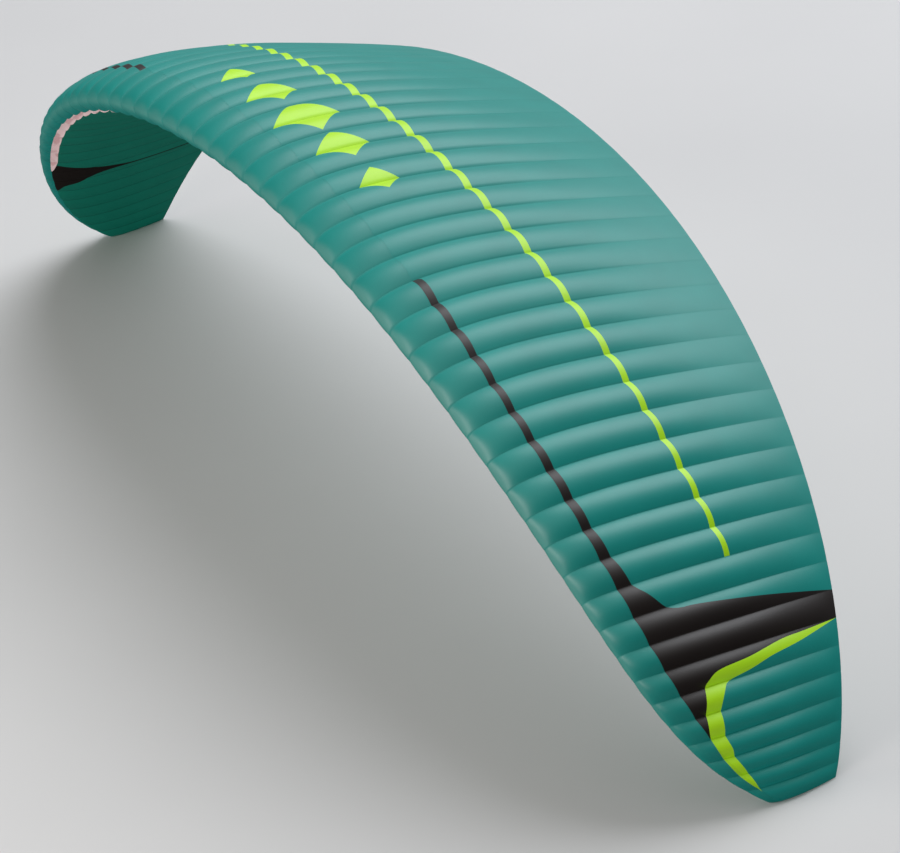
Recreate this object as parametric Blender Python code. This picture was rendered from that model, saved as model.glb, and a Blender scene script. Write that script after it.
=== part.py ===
"""Paraglider wing: the inflated canopy of a 58 cell wing, standing on its two tips.

+X runs along the span, the leading edge faces -Y and +Z is up. The origin lies on the
ground, midway between the tips and midway between the foremost and rearmost points.
Run it with blender --background --python part.py, or from Blender's text editor.
"""

import math

import bmesh
import bpy
from mathutils import Vector

# Planform, in metres. A series maps a power of the span fraction to its share.
HALF_SPAN = 6.1
HALF_CELLS = 29
CELL_TAPER = 0.267
ROOT_CHORD = 2.48
LEADING_EDGE_SERIES = {2: 0.126, 4: 0.652, 8: -0.128, 14: 0.345, 24: 0.081}
TRAILING_EDGE_SERIES = {2: -0.870, 4: 0.073, 8: -0.129}

# Attitude, in degrees.
ARC_SERIES = {1: 41.3, 3: 32.4, 7: -2.55}
TWIST_SERIES = {0: -3.4, 2: 1.5, 4: 4.03}
PITCH = -3.0

# Aerofoil, as fractions of the chord.
THICKNESS = 0.15
CAMBER = 0.008
CAMBER_PLACE = 0.35
TRAILING_EDGE_HALF = 0.0026

# Ballooning of a cell between its two ribs, as a fraction of the cell's width.
BALLOON_HEIGHT = 0.15
UPPER_FULLNESS = ((0.0, 0.35), (0.02, 0.70), (0.10, 1.0), (0.60, 0.85), (1.0, 0.15))
LOWER_FULLNESS = ((0.0, 0.35), (0.05, 0.50), (0.60, 0.42), (1.0, 0.08))
TIP_REAR_FULLNESS = 0.35

# Cloth and joins, in metres.
SKIN = 0.002
RIB = 0.002
JOIN_GAP = 0.0012
RIB_INSET = 0.0032
TIP_CLEARANCE = 0.0034
TIP_LIFT = 0.0012

# Chord stations, as fractions of the chord.
LIP = 0.036
INTAKE_REAR = 0.068
NOSE_SEAM = 0.118
NOSE_TOP_STATIONS = (0.015, 0.05)
NOSE_UNDER_STATIONS = (0.012,)
UPPER_STATIONS = (0.22, 0.36, 0.54, 0.76, 1.0)
LOWER_STATIONS = (0.20, 0.42, 0.70, 1.0)
RIB_END = 0.94
INTAKE_CELLS = 21

UPPER, LOWER = 1, -1
CELL_STEPS = 3
ARC_STEPS = 400

TEAL = (0.018, 0.235, 0.195, 1.0)
NOSE_TEAL = (0.115, 0.300, 0.265, 1.0)
DARK_GREEN = (0.006, 0.110, 0.080, 1.0)
RIB_WHITE = (0.600, 0.500, 0.490, 1.0)


def clear_scene():
    for obj in list(bpy.data.objects):
        bpy.data.objects.remove(obj)


def series(terms, fraction):
    return sum(share * fraction**power for power, share in terms.items())


def interpolate(rows, place):
    """The value at place of a table whose rows are (place, value)."""
    for (low, before), (high, after) in zip(rows, rows[1:]):
        if place <= high:
            return before + (after - before) * (place - low) / (high - low)
    return rows[-1][1]


def arc_table():
    """Rows of span fraction, distance out and drop of the arc that the ribs stand on."""
    rows = [(0.0, 0.0, 0.0)]
    for step in range(ARC_STEPS):
        angle = math.radians(series(ARC_SERIES, (step + 0.5) / ARC_STEPS))
        _, out, drop = rows[-1]
        length = HALF_SPAN / ARC_STEPS
        rows.append(
            (
                (step + 1) / ARC_STEPS,
                out + length * math.cos(angle),
                drop + length * math.sin(angle),
            )
        )
    return rows


ARC = arc_table()
OUT = [(fraction, out) for fraction, out, _ in ARC]
DROP = [(fraction, drop) for fraction, _, drop in ARC]


def arc_value(column, fraction):
    """Reads an evenly spaced column of the arc table."""
    place = fraction * ARC_STEPS
    low = min(int(place), ARC_STEPS - 1)
    before, after = column[low][1], column[low + 1][1]
    return before + (after - before) * (place - low)


def span_fraction(rib):
    """How far out a rib stands, 0 at the centre and 1 at the tip: cells narrow outwards."""
    even = abs(rib) / HALF_CELLS
    return even * (1 + CELL_TAPER) - CELL_TAPER * even**3


def edges(fraction):
    """The leading and trailing edge of the flat planform at a span fraction."""
    front = series(LEADING_EDGE_SERIES, fraction)
    return front, ROOT_CHORD + series(TRAILING_EDGE_SERIES, fraction)


def profile_height(station, surface):
    """Height of the aerofoil over its chord line, as a fraction of the chord."""
    half = 5 * THICKNESS * (
        0.2969 * math.sqrt(station)
        - 0.1260 * station
        - 0.3516 * station**2
        + 0.2843 * station**3
        - 0.1036 * station**4
    )
    if station < CAMBER_PLACE:
        camber = CAMBER / CAMBER_PLACE**2 * (2 * CAMBER_PLACE * station - station**2)
    else:
        rear = 1 - 2 * CAMBER_PLACE + 2 * CAMBER_PLACE * station - station**2
        camber = CAMBER / (1 - CAMBER_PLACE) ** 2 * rear
    return camber + surface * half


def profile_normal(station, surface):
    """The outward direction at a station, as (back, up)."""
    if station < 1e-6:
        return -1.0, 0.0
    step = min(0.002, station / 2)
    before = profile_height(station - step, surface)
    after = profile_height(min(station + step, 1.0), surface)
    run = min(station + step, 1.0) - station + step
    slope = (after - before) / run
    length = math.hypot(1, slope)
    return -surface * slope / length, surface / length


def fullness(station, surface, fraction):
    rows = UPPER_FULLNESS if surface == UPPER else LOWER_FULLNESS
    rear = TIP_REAR_FULLNESS * fraction**2 * station**2
    return interpolate(rows, station) + rear


def balloon(rib, station, surface):
    """How far the cloth stands out between two ribs."""
    cell = math.floor(abs(rib))
    across = abs(rib) - cell
    if across < 1e-9:
        return 0.0
    width = HALF_SPAN * (span_fraction(cell + 1) - span_fraction(cell))
    rise = BALLOON_HEIGHT * width * 4 * across * (1 - across)
    return rise * fullness(station, surface, span_fraction(rib))


def wing_point(rib, station, surface, inward=0.0):
    """A point of the wing's outer surface, still in the wing's own attitude."""
    fraction = span_fraction(rib)
    side = -1 if rib < 0 else 1
    front, rear = edges(fraction)
    chord = rear - front
    back, up = profile_normal(station, surface)
    stand_out = balloon(rib, station, surface) - inward
    along = station * chord + back * stand_out
    trailing = surface * TRAILING_EDGE_HALF * station
    height = profile_height(station, surface) * chord + up * stand_out + trailing
    twist = math.radians(series(TWIST_SERIES, fraction))
    along, height = (
        along * math.cos(twist) - height * math.sin(twist),
        along * math.sin(twist) + height * math.cos(twist),
    )
    lean = math.radians(series(ARC_SERIES, fraction))
    out = arc_value(OUT, fraction) + height * math.sin(lean)
    level = height * math.cos(lean) - arc_value(DROP, fraction)
    return Vector((side * out, front + along, level))


def pitched(point):
    angle = math.radians(PITCH)
    return Vector(
        (
            point.x,
            point.y * math.cos(angle) - point.z * math.sin(angle),
            point.y * math.sin(angle) + point.z * math.cos(angle),
        )
    )


def sheet_columns(steps):
    """Rib positions from tip to tip, with steps columns to a cell."""
    count = HALF_CELLS * steps
    return [index / steps for index in range(-count, count + 1)]


def ground_level():
    """The mean height of the last rib, which the wing stands on."""
    stations = (0.0, *UPPER_STATIONS)
    heights = [
        pitched(wing_point(HALF_CELLS, station, surface)).z
        for station in stations
        for surface in (UPPER, LOWER)
    ]
    return sum(heights) / len(heights)


def depth_centre():
    """Midway between the foremost and the rearmost point."""
    depths = [
        pitched(wing_point(rib, station, surface)).y
        for rib in sheet_columns(CELL_STEPS)
        for station in (0.0, *NOSE_TOP_STATIONS, 1.0)
        for surface in (UPPER, LOWER)
    ]
    return (min(depths) + max(depths)) / 2


GROUND = ground_level()
CENTRE = depth_centre()


def place(rib, station, surface, inward=0.0, lift=0.0):
    """A point of the standing wing. The last cell is trimmed level for the ground."""
    point = pitched(wing_point(rib, station, surface, inward))
    point -= Vector((0, CENTRE, GROUND))
    past = abs(rib) - (HALF_CELLS - 1)
    if past <= 0:
        return point
    side = -1 if rib < 0 else 1
    lean = math.radians(series(ARC_SERIES, span_fraction(rib)))
    outward = pitched(Vector((side * math.cos(lean), 0, -math.sin(lean))))
    last = pitched(wing_point(side * HALF_CELLS, station, surface, inward))
    slide = (last.z - GROUND - lift) / -outward.z
    return point + outward * slide * past


def sweep_stretch(rib):
    """How much longer a chordwise gap is than the same gap square to the leading edge."""
    fraction = span_fraction(rib)
    slope = sum(
        power * share * fraction ** (power - 1) / HALF_SPAN
        for power, share in LEADING_EDGE_SERIES.items()
    )
    return math.hypot(1, slope)


def join_share(rib):
    """The gap of a join as a fraction of the chord."""
    front, rear = edges(span_fraction(rib))
    return JOIN_GAP * sweep_stretch(rib) / (rear - front)


def nose_rows(rib):
    """The nose panel's stations: from the lip, round the nose and up to its seam."""
    back = NOSE_SEAM - join_share(rib) / 2
    under = [(LOWER, station) for station in (LIP, *NOSE_UNDER_STATIONS)]
    over = [(UPPER, station) for station in (0.0, *NOSE_TOP_STATIONS, back)]
    return under + over


def upper_rows(rib):
    front = NOSE_SEAM + join_share(rib) / 2
    return [(UPPER, station) for station in (front, *UPPER_STATIONS)]


def lower_rows(rib):
    front = LIP + join_share(rib)
    return [(LOWER, station) for station in (front, INTAKE_REAR, *LOWER_STATIONS)]


def new_object(name, mesh, material, parent):
    mesh.shade_smooth()
    mesh.set_sharp_from_angle(angle=math.radians(40))
    obj = bpy.data.objects.new(name, mesh)
    obj.data.materials.append(material)
    obj.parent = parent
    bpy.context.scene.collection.objects.link(obj)
    return obj


def skin_mesh(form, rows_at, steps, lift, open_row=None):
    """Fills a bmesh with a skin's outer face. It returns the last vertex columns.

    In the cells that take air, the row of faces numbered open_row is left out.
    """
    columns = sheet_columns(steps)
    grid = []
    for rib in columns:
        rows = rows_at(rib)
        grid.append(
            [
                form.verts.new(place(rib, station, surface, lift=lift))
                for surface, station in rows
            ]
        )
    for left, right, rib in zip(grid, grid[1:], columns):
        middle = abs(rib + 0.5 / steps)
        for row in range(len(left) - 1):
            if row == open_row and middle < INTAKE_CELLS:
                continue
            form.faces.new((left[row], right[row], right[row + 1], left[row + 1]))
    for vert in [vert for vert in form.verts if not vert.link_faces]:
        form.verts.remove(vert)
    return grid


def thicken(obj, thickness):
    cloth = obj.modifiers.new("Cloth", "SOLIDIFY")
    cloth.thickness = thickness
    cloth.offset = -1
    cloth.use_even_offset = True
    cloth.use_quality_normals = True


def make_skin(name, rows_at, steps, material, parent):
    form = bmesh.new()
    skin_mesh(form, rows_at, steps, lift=TIP_LIFT)
    mesh = bpy.data.meshes.new(name)
    form.to_mesh(mesh)
    form.free()
    thicken(new_object(name, mesh, material, parent), SKIN)


def close_tip(form, column, side):
    """Folds the lower skin in at a tip: a flat lens that the wing stands on."""
    rib = side * HALF_CELLS
    rim = lower_rows(rib)[:1] + nose_rows(rib)[1:] + upper_rows(rib)[1:]
    loop = [vert for vert in column if vert.is_valid]
    for surface, station in reversed(rim):
        point = place(rib, min(station, RIB_END), surface, inward=TIP_CLEARANCE)
        loop.append(form.verts.new(point))
    form.faces.new(loop if side < 0 else reversed(loop))


def make_lower_skin(material, parent):
    form = bmesh.new()
    grid = skin_mesh(form, lower_rows, CELL_STEPS, lift=0.0, open_row=0)
    close_tip(form, grid[0], -1)
    close_tip(form, grid[-1], 1)
    form.normal_update()
    bmesh.ops.reverse_faces(form, faces=form.faces)
    mesh = bpy.data.meshes.new("lower_skin")
    form.to_mesh(mesh)
    form.free()
    thicken(new_object("lower_skin", mesh, material, parent), SKIN)


def rib_outline(rib):
    """The rib's rim in order, each corner set in evenly from the skins' facets."""
    seam = [place(rib, station, surface) for surface, station in nose_rows(rib)]
    seam += [place(rib, station, surface) for surface, station in upper_rows(rib)[1:]]
    under = [place(rib, station, surface) for surface, station in lower_rows(rib)[1:]]
    top_reach = (RIB_END - UPPER_STATIONS[-2]) / (1 - UPPER_STATIONS[-2])
    under_reach = (RIB_END - LOWER_STATIONS[-2]) / (1 - LOWER_STATIONS[-2])
    seam[-1] = seam[-2].lerp(seam[-1], top_reach)
    under[-1] = under[-2].lerp(under[-1], under_reach)
    rim = seam + under[::-1]
    normal = rib_normal(rib)
    inset = RIB_INSET * sweep_stretch(rib)
    corners = []
    for index, corner in enumerate(rim):
        before = (corner - rim[index - 1]).normalized()
        after = (rim[(index + 1) % len(rim)] - corner).normalized()
        inward = (normal.cross(before) + normal.cross(after)).normalized()
        half_turn = inward.dot(normal.cross(before))
        corners.append(corner + inward * inset / half_turn)
    return corners


def rib_normal(rib):
    """Square to the rib's plane, turned so that the rim runs round its left."""
    nose = place(rib, 0.0, UPPER)
    tail = place(rib, 1.0, UPPER)
    top = place(rib, UPPER_STATIONS[1], UPPER)
    return (top - nose).cross(tail - nose).normalized()


def make_rib(rib, material, parent):
    corners = rib_outline(rib)
    half = rib_normal(rib) * RIB / 2
    form = bmesh.new()
    near = [form.verts.new(corner - half) for corner in corners]
    far = [form.verts.new(corner + half) for corner in corners]
    form.faces.new(near)
    form.faces.new(reversed(far))
    for index in range(len(corners)):
        after = (index + 1) % len(corners)
        form.faces.new((near[index], far[index], far[after], near[after]))
    bmesh.ops.recalc_face_normals(form, faces=form.faces)
    side = "centre" if rib == 0 else ("right" if rib > 0 else "left")
    name = f"rib_{side}_{abs(rib):02d}"
    mesh = bpy.data.meshes.new(name)
    form.to_mesh(mesh)
    form.free()
    new_object(name, mesh, material, parent)


def make_material(name, colour, roughness):
    material = bpy.data.materials.new(name)
    material.use_nodes = True
    shader = material.node_tree.nodes["Principled BSDF"]
    shader.inputs["Base Color"].default_value = colour
    shader.inputs["Roughness"].default_value = roughness
    shader.inputs["Metallic"].default_value = 0.0
    return material


def main():
    clear_scene()
    wing = bpy.data.objects.new("wing", None)
    bpy.context.scene.collection.objects.link(wing)
    teal = make_material("upper_cloth", TEAL, 0.55)
    nose = make_material("nose_cloth", NOSE_TEAL, 0.55)
    green = make_material("lower_cloth", DARK_GREEN, 0.60)
    white = make_material("rib_cloth", RIB_WHITE, 0.70)
    make_skin("nose_skin", nose_rows, CELL_STEPS, nose, wing)
    make_skin("upper_skin", upper_rows, CELL_STEPS, teal, wing)
    make_lower_skin(green, wing)
    for rib in range(1 - HALF_CELLS, HALF_CELLS):
        make_rib(rib, white, wing)


main()
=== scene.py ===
"""Paraglider wing: the looks of the inflated canopy, laid out as a Blender add-on.

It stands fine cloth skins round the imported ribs, and sets the floor, the lights and the
camera. +X runs along the span, the leading edge faces -Y and +Z is up, in metres.
"""

import math

import bmesh
import bpy
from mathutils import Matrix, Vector


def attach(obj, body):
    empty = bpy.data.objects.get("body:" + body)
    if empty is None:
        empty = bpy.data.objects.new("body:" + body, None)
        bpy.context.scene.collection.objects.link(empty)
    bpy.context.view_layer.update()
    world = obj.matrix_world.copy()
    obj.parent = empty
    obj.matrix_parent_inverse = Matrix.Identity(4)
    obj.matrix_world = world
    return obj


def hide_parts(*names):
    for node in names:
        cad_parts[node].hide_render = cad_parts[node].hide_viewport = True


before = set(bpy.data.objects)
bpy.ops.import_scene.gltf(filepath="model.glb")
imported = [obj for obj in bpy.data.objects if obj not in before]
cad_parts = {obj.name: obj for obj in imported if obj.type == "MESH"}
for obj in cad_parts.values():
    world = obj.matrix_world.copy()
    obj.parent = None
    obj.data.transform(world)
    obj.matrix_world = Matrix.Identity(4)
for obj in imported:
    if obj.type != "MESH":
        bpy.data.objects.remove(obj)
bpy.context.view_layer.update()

bl_info = {
    "name": "Paraglider wing",
    "version": (1, 0, 0),
    "blender": (4, 5, 0),
    "location": "3D View > Sidebar > Wing",
    "description": "Cloth skins, ribs, floor, lights and camera of an inflated wing",
    "category": "Object",
}

# Planform, in metres. A series maps a power of the span fraction to its share.
HALF_SPAN = 6.1
HALF_CELLS = 29
CELL_TAPER = 0.267
ROOT_CHORD = 2.48
LEADING_EDGE_SERIES = {2: 0.126, 4: 0.652, 8: -0.128, 14: 0.345, 24: 0.081}
TRAILING_EDGE_SERIES = {2: -0.870, 4: 0.073, 8: -0.129}

# Attitude, in degrees.
ARC_SERIES = {1: 41.3, 3: 32.4, 7: -2.55}
TWIST_SERIES = {0: -3.4, 2: 1.5, 4: 4.03}
PITCH = -3.0

# How far behind the middle of the leading edge the whole wing's depth has its middle.
DEPTH_CENTRE = 1.227

# Aerofoil, as fractions of the chord. The trailing edge's half gap is in metres.
THICKNESS = 0.15
CAMBER = 0.008
CAMBER_PLACE = 0.35
TRAILING_EDGE_HALF = 0.0013

# How full a cell stands between its ribs: rows of chord station and share.
UPPER_FULLNESS = (
    (0.0, 0.10),
    (0.012, 0.46),
    (0.035, 0.72),
    (0.08, 0.98),
    (0.13, 1.12),
    (0.30, 1.06),
    (0.50, 0.90),
    (0.78, 0.28),
    (0.92, 0.08),
    (1.0, 0.03),
)
LOWER_FULLNESS = ((0.0, 0.10), (0.035, 0.46), (0.12, 0.30), (0.60, 0.22), (1.0, 0.03))
TIP_REAR_FULLNESS = 0.65
TIP_SWELL = 0.60

# Joins, in metres, and chord stations, as fractions of the chord.
JOIN_GAP = 0.0012
LAP_WIDTH = 0.012
LAP_DEPTH = 0.0016
LIP_LAP = 0.006
TIP_CLEARANCE = 0.0034
TIP_LIFT = 0.0012
LIP = 0.036
INTAKE_REAR = 0.068
NOSE_SEAM = 0.118
RIB_END = 0.94
INTAKE_CELLS = 21
SLOT_END = 0.10

UPPER, LOWER = 1, -1
ARC_STEPS = 400
TINY = 1e-9

# Where the last rib's height is read, as chord stations.
LEVEL_STATIONS = (0.0, 0.22, 0.36, 0.54, 0.76, 1.0)

# Chordwise rows of faces of each skin, and how they crowd to its front: 1 is even.
NOSE_UNDER_ROWS = 6
NOSE_OVER_ROWS = 13
UPPER_ROWS = 42
LOWER_ROWS = 26
NOSE_CROWDING = 1.7
UPPER_CROWDING = 1.3
LOWER_CROWDING = 1.2

# Colour borders, as rows of rib number and chord station. The wing is symmetrical.
BLACK_INBOARD = (
    (8.0, 0.140),
    (13.0, 0.140),
    (15.0, 0.145),
    (16.0, 0.147),
    (17.0, 0.150),
    (18.0, 0.158),
    (19.0, 0.175),
    (19.45, 0.205),
    (19.95, 0.247),
    (20.15, 0.295),
    (20.2, 0.367),
    (20.4, 0.537),
    (20.65, 0.745),
    (21.0, 1.0),
)
HOOK_OUTER = (
    (22.0, 1.0),
    (22.1, 0.807),
    (22.15, 0.688),
    (22.4, 0.503),
    (22.53, 0.335),
    (22.8, 0.268),
    (23.0, 0.242),
    (23.65, 0.198),
    (24.0, 0.175),
    (24.95, 0.122),
    (26.05, 0.10),
    (27.15, 0.09),
    (28.15, 0.103),
)
HOOK_INNER = (
    (22.0, 1.0),
    (22.4, 0.785),
    (22.6, 0.62),
    (22.84, 0.49),
    (23.0, 0.372),
    (23.25, 0.325),
    (23.95, 0.26),
    (25.05, 0.203),
    (25.65, 0.188),
    (26.1, 0.17),
    (27.15, 0.155),
    (28.15, 0.103),
)
# What closes the outlines round those borders, past the cloth's edges or under the lime.
BLACK_FRONT = ((24.95, 0.16), (24.95, -0.2), (8.0, -0.2))
BLACK_UNDER_HOOK = (
    (21.0, 1.2),
    (22.0, 1.2),
    (22.0, 1.0),
    (22.2, 0.8),
    (22.55, 0.5),
    (22.8, 0.34),
    (23.5, 0.24),
)
OUTSIDE_HOOK = ((29.5, 0.2), (29.5, 1.3), (22.0, 1.3))
INSIDE_HOOK = ((29.5, 0.05), (29.5, -0.3), (17.0, -0.3), (17.0, 1.3), (22.0, 1.3))
FIRST_MARKED_RIB = 7
HOOK_BORDERS = ("hook_outer", "hook_inner")

# The borders under the wing, as rows of chord station and rib number.
UNDER_PATCH_INBOARD = (
    (0.03, 20.15),
    (0.158, 20.6),
    (0.275, 21.05),
    (0.385, 21.25),
    (0.485, 21.4),
    (1.0, 21.45),
)
UNDER_PATCH_OUTBOARD = (
    (0.03, 23.0),
    (0.077, 22.45),
    (0.18, 22.2),
    (0.24, 21.9),
    (0.29, 21.62),
    (0.405, 21.5),
    (1.0, 21.56),
)
LIME_LINE_PLACE = {0: 0.4492, 2: 0.3307, 4: -0.0902}
LIME_LINE_RIBS = 19

# The row of lozenges on the centre cells: rib, half width in cells, half length in chords.
LOZENGES = ((0.0, 0.90, 0.102), (2.0, 0.72, 0.081), (4.0, 0.54, 0.060))
LOZENGE_STATION = 0.245

# Painted shade in the dip beside a seam, where the cloth also dulls. The reach is a share of the
# cell, and it falls between two ribs. The effect fades to its rear share between two stations.
VALLEY_RIBS = (3.0, 14.0)
VALLEY_REACH = (0.12, 0.05)
VALLEY_STATIONS = (0.45, 0.85)
VALLEY_REAR_SHARE = 0.15
VALLEY_SHADE_TONE = 0.83
VALLEY_ROUGHNESS = 0.80

# The weave: scale and detail of its noises, and its share of a thread's height.
WEAVE_NOISE = (900.0, 1.0)
CLOUD_NOISE = (3.5, 3.0)
WEAVE_SHARE = 0.35

# Soft edges: of a thread and of a stitch's ends, as shares of their pitch.
THREAD_EDGE = (0.06, 0.12)
STITCH_END_EDGE = (0.1, 0.18)

# A seam's edge, and the place and the edge of its stitches, as shares of its half width.
SEAM_EDGE = (0.8, 1.1)
STITCH_ROW = 0.55
STITCH_ROW_EDGE = (0.08, 0.16)

# The pitch of the stitches and the heights, in metres.
STITCH_PITCH = 0.0036
THREAD_HEIGHT = 0.00004
SEAM_HEIGHT = 0.00012
BUMP_STRENGTH = 0.6

# How much paler or darker each part of the cloth is than its colour.
CLOUD_EDGE = (0.3, 0.7)
CLOUD_TONES = (0.96, 1.04)
THREAD_TONE = 1.08
SEAM_TONE = 0.95
STITCH_TONE = 1.12
NOSE_SEAM_TONE = 0.98
# The nose's valley tone is painted shade in the dips beside its seams.
NOSE_VALLEY_SHADE_TONE = 0.91
# Well past a real seam's tone: partly a real seam, partly painted shade of the dips between the
# lower cells.
LOWER_SEAM_AND_SHADE_TONE = 0.76
RIB_CLOUD_TONES = (0.94, 1.04)
RIB_THREAD_TONE = 0.93

# Painted shade in the middle of each cell of the pale reverse, and reddish blotches at random
# on the ribs: where they fade in, and how strong they grow.
SHADE_PATCH_EDGE = (0.22, 0.38)
SHADE_PATCH_STRENGTH = 0.8
BLOTCH_NOISE = (13.0, 1.0)
BLOTCH_EDGE = (0.46, 0.60)
BLOTCH_STRENGTH = 0.50

# The floor: the share of its light that reaches the cloth, its unevenness, how far it lies
# under the wing, and the distances between which it glows ever paler.
FLOOR_BOUNCE = 0.5
FLOOR_NOISE = (0.35, 4.0)
FLOOR_TONES = (0.985, 1.015)
FLOOR_DROP = 0.001
FLOOR_GLOW_REACH = (14.0, 70.0)

# Lights: name, place, aim, size in metres, and colour.
REAR_LIGHT = ("rear_light", (-6.5, 17.2, 29.0), (0, 0, 1.5), (34, 32), (0.98, 1.0, 1.05))
FRONT_LIGHT = ("front_light", (2.6, -17.4, 6.6), (2, -1, 1.5), (22, 10.5), (1.0, 0.94, 0.89))

# The surroundings: colours at the horizon and overhead, and the heights between them.
HORIZON_COLOUR = (0.035, 0.035, 0.04)
OVERHEAD_COLOUR = (0.97, 0.99, 1.0)
OVERHEAD_HEIGHTS = (0.4, 1.0)

# Where the surroundings glow low down: direction, cosine of its reach, and colour.
LOW_GLOWS = (
    ((-0.501, -0.822, -0.271), 0.76, (2.40, 1.55, 1.42)),
    ((-0.864, 0.502, 0.050), 0.78, (0.65, 0.65, 0.65)),
)

# Camera: place in metres, turn in degrees, focal length in millimetres, reach in metres.
CAMERA_PLACE = (24.219, -10.864, 14.553)
CAMERA_TURN = (61.632, 5.939, 62.287)
CAMERA_LENS = 170.85
CAMERA_REACH = 400.0


# ---- Sizes and colours -------------------------------------------------------------------


def colour_property(name, description, default):
    """A colour of the wing or its stage."""
    return bpy.props.FloatVectorProperty(
        name=name,
        description=description,
        default=default,
        min=0.0,
        max=1.0,
        size=3,
        subtype="COLOR",
    )


def length_property(name, description, default):
    """A length in metres."""
    return bpy.props.FloatProperty(
        name=name, description=description, default=default, min=0.0, subtype="DISTANCE"
    )


def power_property(name, description, default):
    """The power of a light in watts."""
    return bpy.props.FloatProperty(
        name=name, description=description, default=default, min=0.0, unit="POWER"
    )


class WingSizes(bpy.types.PropertyGroup):
    """Sizes of the cloth."""

    cell_steps: bpy.props.IntProperty(
        name="Cell steps", description="Faces across one cell", default=12, min=4, max=16
    )
    balloon: bpy.props.FloatProperty(
        name="Ballooning",
        description="Height of a full cell over its ribs, as a share of its width",
        default=0.15,
        min=0.0,
        max=0.3,
        subtype="FACTOR",
    )
    thickness: length_property("Cloth thickness", "Thickness of the skins", 0.0012)
    line_width: length_property("Line width", "Width of the lime line at the centre", 0.060)
    line_end: length_property("Line end", "Width of the lime line at its ends", 0.040)
    ripstop_pitch: length_property("Ripstop pitch", "Distance between threads", 0.005)
    seam_width: length_property("Seam width", "Width of a sewn seam", 0.008)


class WingColours(bpy.types.PropertyGroup):
    """Colours of the cloth."""

    teal: colour_property("Teal", "Upper skin", (0.002, 0.212, 0.187))
    nose: colour_property("Nose teal", "Nose skin", (0.002, 0.210, 0.184))
    lime: colour_property("Lime", "Line, hook and lozenges", (0.370, 0.680, 0.006))
    black: colour_property("Black", "Stripe and patch", (0.012, 0.009, 0.008))
    green: colour_property("Dark green", "Lower skin", (0.004, 0.150, 0.104))
    reverse: colour_property("Reverse", "Coated inner side", (0.700, 0.610, 0.610))
    # A reddish colour: painted shade in the middle of each cell of the reverse, and random
    # blotches on the ribs.
    shade_and_blotch: colour_property("Patch", "Reinforced part of the reverse", (0.46, 0.25, 0.26))
    rib: colour_property("Rib", "Rib cloth", (0.720, 0.650, 0.645))
    floor: colour_property("Floor", "Studio floor", (0.700, 0.700, 0.695))


class StageSettings(bpy.types.PropertyGroup):
    """Floor, lights and camera."""

    floor_size: length_property("Floor size", "Side of the floor", 160.0)
    rear_power: power_property("Rear light", "Large soft light high behind the wing", 9200.0)
    front_power: power_property("Front light", "Low light before the leading edge", 2000.0)
    sky: bpy.props.FloatProperty(
        name="Surroundings", description="Strength of the light all round", default=0.50, min=0.0
    )
    lens: bpy.props.FloatProperty(
        name="Lens",
        description="Focal length of the camera in millimetres",
        default=CAMERA_LENS,
        min=10.0,
    )


# ---- The wing's form ---------------------------------------------------------------------


def series(terms, fraction):
    """The sum of a series of powers of the span fraction."""
    return sum(share * fraction**power for power, share in terms.items())


def smooth_value(rows, place):
    """The value at place of a smooth curve through a table of (place, value) rows."""
    last = len(rows) - 1
    index = next((i for i in range(last) if place <= rows[i + 1][0]), last - 1)
    (low, before), (high, after) = rows[index], rows[index + 1]
    run = high - low

    def slope(i):
        if i in (0, last):
            return 0.0
        left = (rows[i][1] - rows[i - 1][1]) / (rows[i][0] - rows[i - 1][0])
        right = (rows[i + 1][1] - rows[i][1]) / (rows[i + 1][0] - rows[i][0])
        return 2 * left * right / (left + right) if left * right > 0 else 0.0

    share = min(max((place - low) / run, 0.0), 1.0)
    rest = 1 - share
    start = rest * rest * (1 + 2 * share) * before + rest * rest * share * run * slope(index)
    end = share * share * (1 + 2 * rest) * after - share * share * rest * run * slope(index + 1)
    return start + end


def arc_table():
    """Rows of distance out and drop, evenly spaced along the arc the ribs stand on."""
    rows = [(0.0, 0.0)]
    length = HALF_SPAN / ARC_STEPS
    for step in range(ARC_STEPS):
        angle = math.radians(series(ARC_SERIES, (step + 0.5) / ARC_STEPS))
        out, drop = rows[-1]
        rows.append((out + length * math.cos(angle), drop + length * math.sin(angle)))
    return rows


ARC = arc_table()


def arc_point(fraction):
    """Distance out and drop of the arc at a span fraction."""
    place = fraction * ARC_STEPS
    low = min(int(place), ARC_STEPS - 1)
    share = place - low
    return [before + (after - before) * share for before, after in zip(ARC[low], ARC[low + 1])]


def span_fraction(rib):
    """How far out a rib stands, 0 at the centre and 1 at the tip: cells narrow outwards."""
    even = abs(rib) / HALF_CELLS
    return even * (1 + CELL_TAPER) - CELL_TAPER * even**3


def edges(fraction):
    """The leading and trailing edge of the flat planform at a span fraction."""
    front = series(LEADING_EDGE_SERIES, fraction)
    return front, ROOT_CHORD + series(TRAILING_EDGE_SERIES, fraction)


def flat_place(rib, station):
    """A point of the flat planform, as (across, along)."""
    fraction = span_fraction(rib)
    front, rear = edges(fraction)
    side = -1 if rib < 0 else 1
    return side * HALF_SPAN * fraction, front + station * (rear - front)


def profile_height(station, surface):
    """Height of the aerofoil over its chord line, as a fraction of the chord."""
    half = 5 * THICKNESS * (
        0.2969 * math.sqrt(station)
        - 0.1260 * station
        - 0.3516 * station**2
        + 0.2843 * station**3
        - 0.1036 * station**4
    )
    if station < CAMBER_PLACE:
        camber = CAMBER / CAMBER_PLACE**2 * (2 * CAMBER_PLACE * station - station**2)
    else:
        rear = 1 - 2 * CAMBER_PLACE + 2 * CAMBER_PLACE * station - station**2
        camber = CAMBER / (1 - CAMBER_PLACE) ** 2 * rear
    return camber + surface * half


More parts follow.
